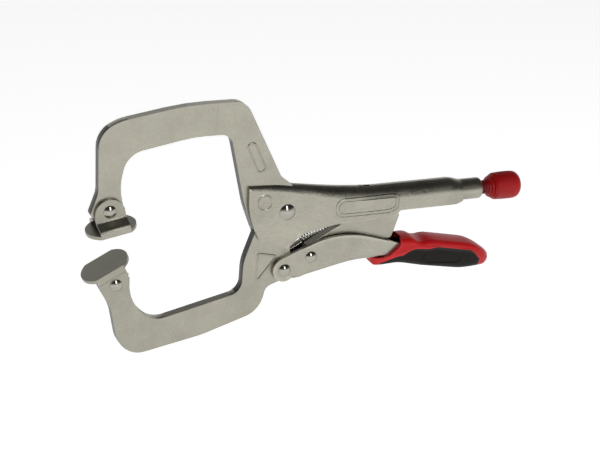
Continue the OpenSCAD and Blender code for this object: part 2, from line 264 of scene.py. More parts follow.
def ridge(path, surface, width, height, closed=True, side=-1):
    """A low raised line on a face; surface(x, z) gives how far out the face lies there."""
    p = resample(path, step=0.7, closed=closed)
    n = len(p)
    form = [(-1, -0.3), (-0.62, 0.72), (0, 1), (0.62, 0.72), (1, -0.3)]
    verts, faces = [], []
    for k in range(n):
        a, b = (p[k - 1], p[(k + 1) % n]) if closed else (p[max(k - 1, 0)], p[min(k + 1, n - 1)])
        t = unit(b - a)
        for s, h in form:
            q = p[k] + np.array([-t[1], t[0]]) * s * width / 2
            verts.append([q[0], side * (surface(q[0], q[1]) + h * height), q[1]])
    m = len(form)
    for k in range(n if closed else n - 1):
        for j in range(m - 1):
            a, b = k * m + j, (k + 1) % n * m + j
            faces.append((a, b, b + 1, a + 1))
    return np.array(verts), faces


def add_part(bm, part):
    verts, faces = part
    made = [bm.verts.new(to_frame(v)) for v in verts]
    for f in faces:
        f = list(dict.fromkeys(f))
        if len(f) > 2:
            bm.faces.new([made[k] for k in f])


def from_node(bm, node):
    """The CAD node's own faces, merged into large flat ones ready for bevels."""
    bm.from_mesh(frame["nodes"][node].data)
    bmesh.ops.remove_doubles(bm, verts=bm.verts, dist=3e-6)
    bmesh.ops.dissolve_limit(bm, angle_limit=radians(0.4), verts=bm.verts, edges=bm.edges)
    for f in bm.faces:
        f.material_index = 0


def clean(bm):
    bmesh.ops.remove_doubles(bm, verts=bm.verts, dist=8e-6)
    bmesh.ops.dissolve_degenerate(bm, edges=bm.edges, dist=4e-6)
    bmesh.ops.recalc_face_normals(bm, faces=bm.faces)


def bevel(bm, width, segments=3, sharp=40):
    edges = [e for e in bm.edges if len(e.link_faces) == 2 and e.calc_face_angle(0) > radians(sharp)]
    bmesh.ops.bevel(bm, geom=edges, offset=width / 1000, offset_type="OFFSET", segments=segments,
                    profile=0.5, affect="EDGES", clamp_overlap=True, miter_outer="ARC")


def facing(f):
    """The way a face looks, rounded, so that all faces of one plane share it."""
    return tuple(round(c, 2) for c in f.normal)


def piece(name, bm, body, nodes, materials, smooth=42, flat_over=None):
    """Turns a bmesh into a finished piece.

    Where flat_over is given, faces that look the same way as one larger than that (mm2)
    are shaded flat.
    """
    planes = set()
    if flat_over:
        planes = {facing(f) for f in bm.faces if f.calc_area() * MM2_IN_M2 > flat_over}
    smooth_faces = [facing(f) not in planes for f in bm.faces]
    mesh = bpy.data.meshes.new(name)
    bm.to_mesh(mesh)
    bm.free()
    mesh.set_sharp_from_angle(angle=radians(smooth))
    mesh.polygons.foreach_set("use_smooth", smooth_faces)
    for m in materials:
        mesh.materials.append(m)
    o = bpy.data.objects.new(name, mesh)
    bpy.context.scene.collection.objects.link(o)
    if not flat_over:
        o.modifiers.new("normals", "WEIGHTED_NORMAL").keep_sharp = True
    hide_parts(*nodes)
    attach(o, body)
    return o


# ---- materials ----------------------------------------------------------------------------

def material(name, **sockets):
    m = bpy.data.materials.new(name)
    m.use_nodes = True
    shader = m.node_tree.nodes["Principled BSDF"]
    for k, v in sockets.items():
        shader.inputs[k.replace("_", " ")].default_value = v
    return m, m.node_tree, shader


def noise(tree, scale, stretch=(1, 1, 1), detail=4.0, rough=0.55):
    """Noise in the part's own coordinates; scale is in waves per metre."""
    coord = tree.nodes.new("ShaderNodeTexCoord")
    mapping = tree.nodes.new("ShaderNodeMapping")
    mapping.inputs["Scale"].default_value = stretch
    n = tree.nodes.new("ShaderNodeTexNoise")
    n.inputs["Scale"].default_value = scale
    n.inputs["Detail"].default_value = detail
    n.inputs["Roughness"].default_value = rough
    tree.links.new(coord.outputs["Object"], mapping.inputs["Vector"])
    tree.links.new(mapping.outputs["Vector"], n.inputs["Vector"])
    return n.outputs["Fac"]


def ramp(tree, value, stops):
    r = tree.nodes.new("ShaderNodeValToRGB")
    while len(r.color_ramp.elements) < len(stops):
        r.color_ramp.elements.new(0.5)
    for e, (at, c) in zip(r.color_ramp.elements, stops):
        e.position = at
        e.color = (c, c, c, 1) if isinstance(c, (int, float)) else (*c, 1)
    tree.links.new(value, r.inputs["Fac"])
    return r.outputs["Color"]


def mix(tree, how, a, b, fac=1.0):
    n = tree.nodes.new("ShaderNodeMix")
    n.data_type = "RGBA"
    n.blend_type = how
    if isinstance(fac, float):
        n.inputs["Factor"].default_value = fac
    else:
        tree.links.new(fac, n.inputs["Factor"])
    for socket, v in ((n.inputs[6], a), (n.inputs[7], b)):
        if isinstance(v, tuple):
            socket.default_value = (*v, 1)
        else:
            tree.links.new(v, socket)
    return n.outputs[2]


def bump(tree, shader, heights):
    """Adds bumps one on another: [(height, strength, distance in metres)]."""
    last = None
    for height, strength, distance in heights:
        b = tree.nodes.new("ShaderNodeBump")
        b.inputs["Strength"].default_value = strength
        b.inputs["Distance"].default_value = distance
        tree.links.new(height, b.inputs["Height"])
        if last is not None:
            tree.links.new(last, b.inputs["Normal"])
        last = b.outputs["Normal"]
    tree.links.new(last, shader.inputs["Normal"])


def edge_wear(tree):
    """White along outer edges, from each vertex's pointiness."""
    g = tree.nodes.new("ShaderNodeNewGeometry")
    return ramp(tree, g.outputs["Pointiness"], [(0.53, 0.0), (0.62, 1.0)])


def metal(name, colour, rough, grain=(1, 1, 1), spread=0.10, edge=0.25, orange_peel=0.08):
    """Plated steel: fine satin grain, soft clouding and small spots.

    Above 0, edge brightens the outer edges too.
    """
    m, tree, shader = material(name, Metallic=1.0)
    fine = noise(tree, 1500, grain, 3.0)
    cloud = noise(tree, 55, (1, 1, 1), 5.0)
    spots = noise(tree, 420, (1, 1, 1), 6.0, 0.7)
    dark, light = tuple(c * (1 - spread) for c in colour), tuple(c * (1 + spread) for c in colour)
    base = ramp(tree, cloud, [(0.3, dark), (0.7, light)])
    base = mix(tree, "MULTIPLY", base, ramp(tree, fine, [(0.3, 0.84), (0.7, 1.0)]))
    base = mix(tree, "MULTIPLY", base, ramp(tree, spots, [(0.30, 0.90), (0.42, 1.0)]), 0.5)
    if edge > 0:
        base = mix(tree, "SCREEN", base, tuple(c * edge for c in colour), edge_wear(tree))
    tree.links.new(base, shader.inputs["Base Color"])
    r = mix(tree, "ADD", ramp(tree, fine, [(0.25, rough - 0.05), (0.75, rough + 0.05)]),
            ramp(tree, cloud, [(0.3, 0.0), (0.7, 0.06)]))
    tree.links.new(r, shader.inputs["Roughness"])
    bump(tree, shader, [(cloud, orange_peel, 0.0002), (spots, 0.04, 0.00006), (fine, 0.12, 0.00004)])
    return m


def plastic(name, colour, rough, grain_scale=2600, grain=0.25, spread=0.12, shine=0.28):
    """Moulded plastic or soft rubber: fine texture, slight colour drift and rubbed high spots."""
    m, tree, shader = material(name, Specular_IOR_Level=shine)
    fine = noise(tree, grain_scale, (1, 1, 1), 3.0, 0.6)
    cloud = noise(tree, 70, (1, 1, 1), 4.0)
    dark, light = tuple(c * (1 - spread) for c in colour), tuple(c * (1 + spread) for c in colour)
    base = ramp(tree, cloud, [(0.3, dark), (0.7, light)])
    base = mix(tree, "MULTIPLY", base, ramp(tree, fine, [(0.3, 0.86), (0.7, 1.0)]))
    base = mix(tree, "SCREEN", base, tuple(min(1.0, c * 0.25 + 0.01) for c in colour), edge_wear(tree))
    tree.links.new(base, shader.inputs["Base Color"])
    r = mix(tree, "ADD", ramp(tree, fine, [(0.25, rough - 0.06), (0.75, rough + 0.06)]),
            ramp(tree, cloud, [(0.3, 0.0), (0.7, 0.08)]))
    tree.links.new(r, shader.inputs["Roughness"])
    bump(tree, shader, [(cloud, 0.08, 0.0003), (fine, grain, 0.00004)])
    return m


NICKEL = (0.35, 0.338, 0.282)
PLATE = metal("satin_nickel_plate", NICKEL, 0.30, edge=0)
SHEET_METAL = metal("satin_nickel_sheet", NICKEL, 0.27, grain=(0.25, 1, 1))
PAD = metal("satin_nickel_pad", NICKEL, 0.40, edge=0)
# Metal for the plates' narrow side faces: the streaky sheared grain is the edge's own, but the
# near-black colour is painted shade.
SHADED_EDGE = metal("sheared_edge_painted_shade", (0.035, 0.034, 0.028), 0.30, grain=(1, 0.12, 1), spread=0.2, edge=0)
RIVET = metal("bright_rivet", (0.37, 0.36, 0.31), 0.09, spread=0.06)
DARK_STEEL = metal("oiled_steel", (0.30, 0.29, 0.27), 0.30)
RED = plastic("red_moulding", (0.42, 0.006, 0.008), 0.36, shine=0.22)
BLACK = plastic("black_soft_moulding", (0.006, 0.005, 0.004), 0.5, 1900, 0.4, 0.2, 0.16)
RED_COAT = plastic("red_anodised_coat", (0.28, 0.004, 0.005), 0.34, 3200, 0.2, 0.15, 0.2)
# The knob's red coat at about half its brightness, for the screw's thread: painted shade.
SHADED_RED_COAT = plastic("red_thread_painted_shade", (0.15, 0.003, 0.004), 0.40, 3200, 0.2, 0.15)


# Material slot of the painted edge shade on the plates' side faces.
SHADED_EDGE_SLOT = 1
SIDEWAYS = 0.35
UPWARD = 0.8


def paint_edge_shade(bm):
    """Paints shade on the narrow faces round a plate with the near-black edge metal, except where they
    face up.
    """
    for f in bm.faces:
        if abs(f.normal.y) < SIDEWAYS and f.normal.z < UPWARD:
            f.material_index = SHADED_EDGE_SLOT


# ---- jaws and link ---------------------------------------------------------------------------

def plate_piece(node, body, width, extras=()):
    """A plate made of its node's own faces, with bevels of the given width and any extras."""
    bm = bmesh.new()
    from_node(bm, node)
    bevel(bm, width)
    bm.normal_update()
    paint_edge_shade(bm)
    for part in extras:
        add_part(bm, part)
    return piece(node + "_plate", bm, body, [node], [PLATE, SHADED_EDGE], flat_over=60)


def face(x, z):
    """How far out a jaw's side lies, the same all over."""
    return JAW_T / 2


capsule = rounded([[-26.3, 42.3, 2.4], [-21.5, 43.9, 2.4], [-13.4, 26.6, 2.4], [-18.2, 24.9, 2.4]])
seam = [[-45.3, 50.8], [-44.8, 58], [-44.4, 67.6]]
triangle = rounded([[-16.3, -25.4, 1], [-4.4, -28.1, 1], [-17.2, -44.2, 1]])
plate_piece("fixed_jaw", "frame", 0.55,
            [ridge(capsule, face, 1.3, 0.45), ridge(seam, face, 0.9, 0.12, closed=False)])
plate_piece("moving_jaw", "lower_jaw", 0.55, [ridge(triangle, face, 1.4, 0.45)])
plate_piece("toggle_link", "link", 0.7)

# ---- fixed handle channel -----------------------------------------------------------------------

FRONT_X = -24.4
EDGE_STEP = 72
COLLAR_X = 113
TAIL_X = COLLAR_X + 4
HANDLE_END = x_of("threaded_bush", 1)
COLLAR_R = 6.6
MOUTH_X = 3.6
SLOT = (50.5, 55)
# Rows of the back's shape: X, half width, height and corner radius.
BACK = [[-26, CHEEK_OUT, 17.6, 2.6], [-8, CHEEK_OUT, 17, 4], [8, CHEEK_OUT, 15, 5.2],
        [22, 6.4, 12.9, 6], [38, 7.3, 11, 7], [58, 8, 9.6, 7.7], [COLLAR_X - 5, 8, 9.6, 7.7],
        [TAIL_X, COLLAR_R + 0.05, SCREW_Z + COLLAR_R + 0.05, COLLAR_R]]


def back_at(x):
    """Half width, height and corner radius of the back at x."""
    return smooth_at(BACK, x)


def roof(y, w, top, r):
    """Height of the rounded back at a distance y from the middle."""
    d = abs(y) - (w - r)
    return top if d <= 0 else top - r + sqrt(max(r * r - d * d, 0))


def channel_surface(x, z):
    """How far out the channel's side lies at a point."""
    w, top, r = back_at(x)
    return w if z <= top - r else w - r + sqrt(max(r * r - (z - top + r) ** 2, 0))


def channel():
    columns, rows, corner = 130, 15, 10
    xs = sorted(set(np.round(np.linspace(FRONT_X, TAIL_X, columns), 3)) | {MOUTH_X, *SLOT})
    low = rounded([[FRONT_X, 30, 0], [FRONT_X, 2, 40], [-17, -16.8, 4], [1.2, -23.4, 1.5],
                   [10, -15.2, 14], [30, -10.6, 60], [EDGE_STEP - 1, -8.4, 1.5],
                   [EDGE_STEP + 1.5, -5.4, 1.5], [COLLAR_X, -5.4, 4], [TAIL_X, -4.2, 0]],
                  closed=False)
    split = int(np.argmin(np.hypot(low[:, 0] + 16.6, low[:, 1] + 15.6)))
    front, under = low[:split + 1][::-1], low[split:]
    shift = under[0, 0] - xs[0]
    bottom_x = [x + shift * (1 - (x - xs[0]) / (xs[-1] - xs[0])) for x in xs]
    bottom = np.array([[x, np.interp(x, under[:, 0], under[:, 1])] for x in bottom_x])
    bottom[0] = under[0]
    top = np.array([[x, back_at(x)[1] - back_at(x)[2]] for x in xs])
    left = resample([p for p in front if p[1] < top[0, 1]] + [top[0]], n=rows)
    right = resample([bottom[-1], top[-1]], n=rows)
    side = patch(bottom, top, left, right)
    ys = [2.2, 1.2, 0.6, 0]
    outer, inner = [], []
    for i, x in enumerate(xs):
        w, t, r = back_at(x)
        ri = max(r - SHEET, 0.4)
        wi, ti = w - SHEET, t - SHEET
        o = [[p[0], -back_at(p[0])[0], p[1]] for p in side[i]]
        n = [[p[0], -max(back_at(p[0])[0] - SHEET, CHEEK_IN), min(p[1], ti - ri)] for p in side[i]]
        end = acos(max(-1, min(1, (CHEEK_IN - (w - r)) / r)))
        for k in range(1, corner + 1):
            a = end * k / corner
            o.append([x, -(w - r) - r * cos(a), t - r + r * sin(a)])
            a = pi / 2 * k / (corner + 1)
            y = wi - ri + ri * cos(a)
            n.append([x, -(max(y, CHEEK_IN) if x < MOUTH_X else y), ti - ri + ri * sin(a)])
        for y in ys:
            lip = 0.45 * np.exp(-((x - SLOT[0] + 1.1) / 0.8) ** 2) * (1 if y < 2 else 0.3)
            o.append([x, -y, roof(y, w, t, r) + lip])
            n.append([x, -y * 0.9, roof(y * 0.9, wi, ti, ri)])
        outer.append(o)
        inner.append(n)
    outer, inner = np.array(outer), np.array(inner)
    nr = outer.shape[1]
    web = rows + corner - 1
    mask = [[not ((j >= web and xs[i + 1] <= MOUTH_X + 0.01)
                  or (j >= web + 2 and SLOT[0] - 0.01 <= xs[i] and xs[i + 1] <= SLOT[1] + 0.01))
             for j in range(nr - 1)] for i in range(len(xs) - 1)]
    bm = bmesh.new()
    add_part(bm, both_sides(shell(outer, inner, mask)))
    clean(bm)
    bevel(bm, 0.42, 3, 48)
    bm.normal_update()
    end = HANDLE_END
    collar = [(COLLAR_X - 2, 5.45), (COLLAR_X - 2, COLLAR_R - 0.3), (COLLAR_X + 2, COLLAR_R)]
    collar += [(x, COLLAR_R) for x in np.linspace(COLLAR_X + 5, end - 1.4, 6)]
    collar += [(end - 1.4 + 1.4 * sin(a), COLLAR_R - 1.0 + 1.0 * cos(a))
               for a in np.linspace(0.2, pi / 2, 6)]
    collar += [(end - 0.3, 5.45), (COLLAR_X - 2, 5.45)]
    add_part(bm, lathe(collar, (0, 0, SCREW_Z), (1, 0, 0)))
    for ring in ([[31, 5.0, 5], [72.6, 5.2, 3.6], [71.8, -4.0, 3], [66.5, -6.3, 4],
                  [31, -6.6, 5]],
                 [[33.2, 3.1, 3.6], [70.5, 3.3, 2.2], [69.9, -2.9, 2], [65.5, -4.3, 3],
                  [33.2, -4.7, 3.6]]):
        for side in (-1, 1):
            add_part(bm, ridge(rounded(ring), channel_surface, 1.1, 0.42, side=side))
    return piece("handle_shell", bm, "frame", ["handle_channel"], [SHEET_METAL])


channel()

# ---- lever -------------------------------------------------------------------------------------

NOSE_R = 7.4
LEVER_HALF = 6.6
LEVER_END = x_of("lever_channel", 1)
WEB_X = 9.5
LEVER_TOP = rounded([arc(LEVER_PIN, NOSE_R, 112.8, 112.8, 1)[0] + [0], [33.7, -14.9, 58],
                     [78, -28.4, 60], [LEVER_END, -37, 0]], closed=False)
LEVER_LOW = rounded([arc(LEVER_PIN, NOSE_R, 290, 290, 1)[0] + [0], [7.2, -41.3, 2], [WEB_X, -42.6, 1],
                     [48, -34.9, 80], [LEVER_END, -42.6, 0]], closed=False)


def lever_half(x):
    """Half the lever's width: the channel's at the nose, and wider behind it."""
    return CHEEK_OUT + (LEVER_HALF - CHEEK_OUT) * smoothstep((x - 8.6) / 5.4)


def lever():
    columns, rows, corner = 110, 12, 6
    x0, x1 = LEVER_LOW[0, 0], LEVER_END
    cut = (WEB_X - x0) / (x1 - x0)
    us = sorted(set(np.round(np.linspace(0, 1, columns), 5)) | {round(cut, 5)})

    def fold(x):
        return 0.1 + 2.4 * smoothstep((x - WEB_X) / 4)

    bottom = np.array([[x, np.interp(x, LEVER_LOW[:, 0], LEVER_LOW[:, 1]) + fold(x)]
                       for x in (x0 + u * (x1 - x0) for u in us)])
    xt = LEVER_TOP[0, 0]
    top = np.array([[x, np.interp(x, LEVER_TOP[:, 0], LEVER_TOP[:, 1])]
                    for x in (xt + u * (x1 - xt) for u in us)])
    left = resample(arc(LEVER_PIN, NOSE_R, 290, 112.8, 40), n=rows)
    left[0] = bottom[0]
    side = patch(bottom, top, left, resample([bottom[-1], top[-1]], n=rows))[:, ::-1]
    outer, inner = [], []
    for i in range(len(us)):
        x, zb = bottom[i]
        r, h = fold(x), lever_half(x)
        ri = max(r - SHEET, 0.15)
        o = [[p[0], -lever_half(p[0]), p[1]] for p in side[i]]
        lowest = zb - r + SHEET + ri if x >= WEB_X - 0.01 else -99
        n = [[p[0], -(lever_half(p[0]) - SHEET), max(p[1], lowest)] for p in side[i]]
        for k in range(1, corner + 1):
            a = pi / 2 * k / corner
            o.append([x, -(h - r) - r * cos(a), zb - r * sin(a)])
            n.append([x, -(h - SHEET - ri) - ri * cos(a), zb - r + SHEET + ri - ri * sin(a)])
        for y in (0.66, 0.33, 0):
            o.append([x, -(h - r) * y, zb - r])
            n.append([x, -(h - SHEET - ri) * y, zb - r + SHEET])
        outer.append(o)
        inner.append(n)
    outer, inner = np.array(outer), np.array(inner)
    mask = [[not (j >= rows - 1 and bottom[i + 1, 0] <= WEB_X + 0.01)
             for j in range(outer.shape[1] - 1)] for i in range(len(us) - 1)]
    bm = bmesh.new()
    add_part(bm, both_sides(shell(outer, inner, mask)))
    clean(bm)
    bevel(bm, 0.4, 3, 48)
    bm.normal_update()
    return piece("lever_shell", bm, "lever", ["lever_channel"], [SHEET_METAL])


lever()

# ---- grip ---------------------------------------------------------------------------------------

GRIP_END = x_of("grip_shell", 1)


def grip():
    tail = GRIP_END - 0.15
    over = rounded([[75.5, -24.2, 0], [84, -24.4, 8], [90, -27.7, 10], [97, -26.6, 16],
                    [129, -33.0, 26], [139.4, -40.6, 6], [tail, -45.2, 0]], closed=False)
    under = rounded([[59.5, -41, 0], [76, -40.6, 30], [92, -44.4, 30], [119, -49.4, 40],
                     [138.4, -49.3, 7], [tail, -45.2, 0]], closed=False)
    edge = rounded([[58.0, -38.6, 0], [58.2, -36.0, 0.8], [67, -35.4, 9], [74.6, -29.4, 5],
                    [75.5, -26.4, 0]], closed=False)
    wave = rounded([[62.5, -39.5, 0], [72, -37.8, 10], [83.5, -30.8, 12], [95, -32.4, 20],
                    [103, -31.2, 14], [126, -36.6, 12], [131.6, -43.6, 5], [tail, -45.2, 0]],
                   closed=False)
    wave = np.vstack([[[58.0, -38.8], [62, -39.5]], wave])
    plan = [[57.6, 2.6], [58.8, 5.4], [61.2, 7.2], [66, 8.4], [82, 9.5], [100, 9.6], [124, 9.5],
            [134, 8.4], [tail - 2.4, 5.6], [tail, 0.4]]
    us = np.concatenate([np.linspace(0, 0.86, 72)[:-1],
                         0.86 + 0.14 * np.sin(np.linspace(0, pi / 2, 22))])
    first, last = 62.0, 132.6
    lip_x, mouth_x = 59.5, 75.5

    def width(x):
        return float(smooth_at(plan, x)[0])

    def height(line, x):
        return float(np.interp(x, line[:, 0], line[:, 1]))

    def swell(x, z):
        return width(x) + 0.28

    u0 = (first - lip_x) / (tail - lip_x)
    lines = {"top": [], "split": [], "bottom": []}
    for u in us:
        xt, xb = mouth_x + u * (tail - mouth_x), lip_x + u * (tail - lip_x)
        xs = xb - 1.5 * max(1 - u / u0, 0) + 0.3 * (xt - xb) * smoothstep((u - u0) / 0.25)
        size = height(over, xt) - height(under, xt)
        rt, rb = min(3.6, 0.4 * size), min(1.2 + 3.6 * smoothstep((xb - 58) / 18), 0.4 * size)
        lines["top"].append([xt, height(over, xt) - rt, rt])
        lines["bottom"].append([xb, height(under, xb) + rb, rb])
        lines["split"].append([xs, min(max(height(wave, xs), height(under, xs) + 1.3 * rb + 0.02),
                                       height(over, xs) - 1.2 * rt if xs > 84 else 99)])
    top, bottom, split = (np.array(lines[k])[:, :2] for k in ("top", "bottom", "split"))
    rows = 8
    upper = patch(split, top, resample([split[0], *edge[1:-1], top[0]], n=rows),
                  resample([split[-1], top[-1]], n=rows))[:, ::-1]
    lower = patch(bottom, split, resample([bottom[0], split[0]], n=rows),
                  resample([bottom[-1], split[-1]], n=rows))[:, ::-1]
    line_z = np.interp(upper[:, :-1, 0], wave[:, 0], wave[:, 1])
    upper[:, :-1, 1] = np.maximum(upper[:, :-1, 1], line_z + 0.02)
    outer = []
    for i in range(len(us)):
        rt, rb = lines["top"][i][2], lines["bottom"][i][2]
        xt, xb = top[i, 0], bottom[i, 0]
        wt, wb = width(xt), width(xb)
        ky, kb = min(4.2, 0.5 * wt), min(5.2, 0.5 * wb)
        o = [[xt, -(wt - ky) * s, height(over, xt) - 0.5 * s * s] for s in (0, 0.4, 0.75, 1)]
        o += [[xt, -(wt - ky) - ky * sin(a), height(over, xt) - 0.5 - (rt - 0.5) * (1 - cos(a))]
              for a in pi / 2 * np.arange(1, 7) / 7]
        for k, p in enumerate(list(upper[i]) + list(lower[i])[1:]):
            belly = 0.35 * sin(pi * k / (2 * rows - 2))
            o.append([p[0], -(width(p[0]) + belly - 0.2 * (1 if k == 0 else 0)), p[1]])
        o += [[xb, -(wb - kb) - kb * cos(a), height(under, xb) + rb * (1 - sin(a))]
              for a in pi / 2 * np.arange(1, 7) / 6]
        o += [[xb, -(wb - kb) * s, height(under, xb)] for s in (0.66, 0.33, 0)]
        outer.append(o)
    outer = np.array(outer)
    inner = outer.copy()
    for i in range(len(us)):
        for j in range(outer.shape[1]):
            x, y, z = outer[i, j]
            close = smoothstep((x - 112) / 24)
            room = min(LEVER_HALF + 0.08, width(x) - 1.0) * (1 - close)
            under_lever = float(np.interp(x, LEVER_LOW[:, 0], LEVER_LOW[:, 1])) - 0.15
            floor = under_lever + (-43.5 - under_lever) * close
            ceiling = height(over, x) - 3.2 if x > 84 else 99
            ceiling += (-43.4 - ceiling) * close
            inner[i, j] = [x, -min(-y, max(room, 0.05)), max(min(z, ceiling), floor)]
    nr = outer.shape[1]
    split_row = 4 + 6 + rows - 1

    def cells(insert):
        """Which cells belong to the black insert, or else to the red moulding."""
        out = []
        for i in range(len(us) - 1):
            in_insert = first - 0.5 < bottom[i, 0] and bottom[i + 1, 0] < last - 0.5
            row = []
            for j in range(nr - 1):
                black = j >= split_row and in_insert
                mouth = j < 3 and top[i + 1, 0] <= 77.6
                row.append(black == insert and not mouth)
            out.append(row)
        return out

    for name, insert, node, slot, mats in (
            ("grip_red_moulding", False, "grip_shell", "red_grip", [RED]),
            ("grip_black_insert", True, "grip_insert", "black_grip", [BLACK])):
        bm = bmesh.new()
        add_part(bm, both_sides(shell(outer, inner, cells(insert), first_rim=False)))
        clean(bm)
        bevel(bm, 0.2, 2, 60)
        bm.normal_update()
        if insert:
            line = rounded([[91.5, -35.2, 3.6], [117.5, -37.0, 3.6], [119.5, -44.4, 3.6],
                            [90.5, -41.6, 3.6]])
            for side in (-1, 1):
                add_part(bm, ridge(line, swell, 0.6, 0.16, side=side))
        piece(name, bm, "lever", [node], mats)


grip()

# ---- screw, knob, bush -----------------------------------------------------------------------------

def screw():
    x0, x1 = x_of("adjusting_screw", 0), x_of("screw_knob", 0)
    pitch, r, depth, turns = 1.5, 4.35, 0.75, 40
    steps, tip_len = 8, 1.2
    count = int((x1 - x0 - tip_len) / pitch * steps)
    verts, faces = [], []
    for k in range(count + 1):
        for i in range(turns):
            a = 2 * pi * i / turns
            x = x0 + tip_len + k * pitch / steps
            wave = abs(((x / pitch - i / turns) % 1) * 2 - 1)
            fade = smoothstep(k / 10) * smoothstep((count - k) / 10)
            rr = r - depth * fade * smoothstep(wave * 1.25 - 0.12)
            verts.append([x, rr * cos(a), SCREW_Z + rr * sin(a)])
    for k in range(count):
        for i in range(turns):
            a, b = k * turns + i, k * turns + (i + 1) % turns
            faces.append((a, b, b + turns, a + turns))
    bm = bmesh.new()
    add_part(bm, (np.array(verts), faces))
    tip = [(x0, 0), (x0, 2.9), (x0 + 0.3, 3.4), (x0 + 1.25, r)]
    add_part(bm, lathe(tip, (0, 0, SCREW_Z), (1, 0, 0), turns))
    last = x0 + tip_len + count * pitch / steps
    neck = [(last - 0.01, r), (x1, r), (x1 + 0.2, 2.9), (x1 + 8, 2.9), (x1 + 8, 0)]
    add_part(bm, lathe(neck, (0, 0, SCREW_Z), (1, 0, 0), turns))
    clean(bm)
    # The thread takes the darkened copy of the red coat, which is painted shade.
    return piece("threaded_screw", bm, "screw", ["adjusting_screw"], [SHADED_RED_COAT], 60)


def knob():
    x0, x1 = x_of("screw_knob", 0), x_of("screw_knob", 1)
    radius = (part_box("screw_knob")[1].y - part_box("screw_knob")[0].y) * 500
    length = x1 - x0
    outline = rounded([[0, 4.4, 0], [0, 5.1, 0.4], [1.3, 5.3, 0.3], [1.5, 6.5, 0.5], [2.5, 6.8, 0.3],
                       [2.6, 6.4, 0.2], [3.1, 6.4, 0.2], [3.2, 7.2, 0.4], [5.2, radius - 0.15, 1.5],
                       [length * 0.6, radius, 20], [length, radius, 4.4], [length, 0, 0]],
                      10, closed=False)
    dish = [[length, 4.0], [length - 0.1, 2.0], [length - 0.15, 0]]
    outline = np.concatenate([outline[:-1], dish])
    fine = resample(outline, step=0.28)
    teeth, slant, turns = 48, 2.6, 288

    def knurl(a, s):
        on = smoothstep((s - 6.6) / 1.2) * smoothstep((length - 4.6 - s) / 1.5)
        u, v = teeth * a + slant * s, teeth * a - slant * s
        return on * 0.07 * (cos(u) + cos(v))

    bm = bmesh.new()
    add_part(bm, lathe([(p[0], p[1]) for p in fine], (x0, 0, SCREW_Z), (1, 0, 0), turns, knurl))
    bore = [(0, 4.4), (0.2, 2.95), (9, 2.95), (9, 0)]
    add_part(bm, lathe(bore, (x0, 0, SCREW_Z), (1, 0, 0), turns))
    clean(bm)
    return piece("knurled_knob", bm, "knob", ["screw_knob"], [RED_COAT], 50)


def bush():
    x0, x1 = x_of("threaded_bush", 0), x_of("threaded_bush", 1)
    r = (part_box("threaded_bush")[1].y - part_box("threaded_bush")[0].y) * 500
    prof = [(0, 4.5), (0, r - 0.3), (0.3, r), (x1 - x0 - 0.7, r), (x1 - x0 - 0.35, r - 0.35),
            (x1 - x0 - 0.35, 4.9), (x1 - x0 - 0.8, 4.5), (0, 4.5)]
    bm = bmesh.new()
    add_part(bm, lathe(prof, (x0, 0, SCREW_Z), (1, 0, 0)))
    clean(bm)
    return piece("collar_bush", bm, "frame", ["threaded_bush"], [DARK_STEEL])


screw()
knob()
bush()

# ---- rivets ----------------------------------------------------------------------------------------

def rivet(node, body, pin_r):
    """A shank with a domed head at each end, each with a small land round it."""
    lo, hi = (np.array(c) * 1000 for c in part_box(node))
    head_r = (hi[0] - lo[0]) / 2
    half = (hi[1] - lo[1]) / 2
    height = {"main_pivot_rivet": 2.0, "lever_rivet": 1.9, "link_rivet": 1.8}.get(node, 1.6)
    land = 0.3
    grip_y = half - height
    centre = ((lo[0] + hi[0]) / 2 - PIVOT.x * 1000, 0, (lo[2] + hi[2]) / 2 - PIVOT.z * 1000)
    crown = height - land
    ball = (head_r ** 2 + crown ** 2) / (2 * crown)
    dome = [(grip_y + height - ball + ball * cos(a), ball * sin(a))
            for a in np.linspace(0, np.arcsin((head_r - 0.12) / ball), 16)]
    half_profile = dome + [(grip_y + 0.22, head_r), (grip_y - 0.02, head_r - 0.05),
                           (grip_y - 0.02, pin_r)]
    prof = half_profile + [(-s, r) for s, r in reversed(half_profile)]
    bm = bmesh.new()
    add_part(bm, lathe(prof, centre, (0, 1, 0), 72))
    clean(bm)
    return piece(node + "_domed", bm, body, [node], [RIVET], 35)


rivet("main_pivot_rivet", "frame", 4.0)
rivet("lever_rivet", "lower_jaw", 3.0)
rivet("link_rivet", "lever", 3.0)
rivet("fixed_pad_rivet", "upper_pad", 2.6)
rivet("moving_pad_rivet", "lower_pad", 2.6)


def flush_pin(node, body, name, mats, proud=0.18):
    """A pin driven flush; where it stands proud, a fine ring of plate rises round each end."""
    lo, hi = (np.array(c) * 1000 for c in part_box(node))
    r, half = (hi[0] - lo[0]) / 2, (hi[1] - lo[1]) / 2
    centre = ((lo[0] + hi[0]) / 2 - PIVOT.x * 1000, 0, (lo[2] + hi[2]) / 2 - PIVOT.z * 1000)
    end = [(half + proud, 0), (half + proud, r - 0.4), (half + proud * 0.7, r - 0.15), (half - 0.1, r)]
    if proud > 0:
        end += [(half + 0.02, r + 0.1), (half + 0.14, r + 0.4), (half - 0.05, r + 0.9)]
    prof = end + [(-s, q) for s, q in reversed(end)]
    bm = bmesh.new()
    add_part(bm, lathe(prof, centre, (0, 1, 0), 72))
    clean(bm)
    return piece(name, bm, body, [node], mats, 30)


flush_pin("fixed_jaw_rivet", "frame", "flush_rivet", [SHEET_METAL])
flush_pin("spring_pin", "lower_jaw", "spring_cross_pin", [PLATE], 0.0)

# ---- pads ------------------------------------------------------------------------------------------

for node, body in (("fixed_pad", "upper_pad"), ("moving_pad", "lower_pad")):
    bm = bmesh.new()
    from_node(bm, node)
    bevel(bm, 0.35, 3, 35)
    bm.normal_update()
    piece(node + "_folded", bm, body, [node], [PAD], flat_over=5)

# ---- spring ----------------------------------------------------------------------------------------

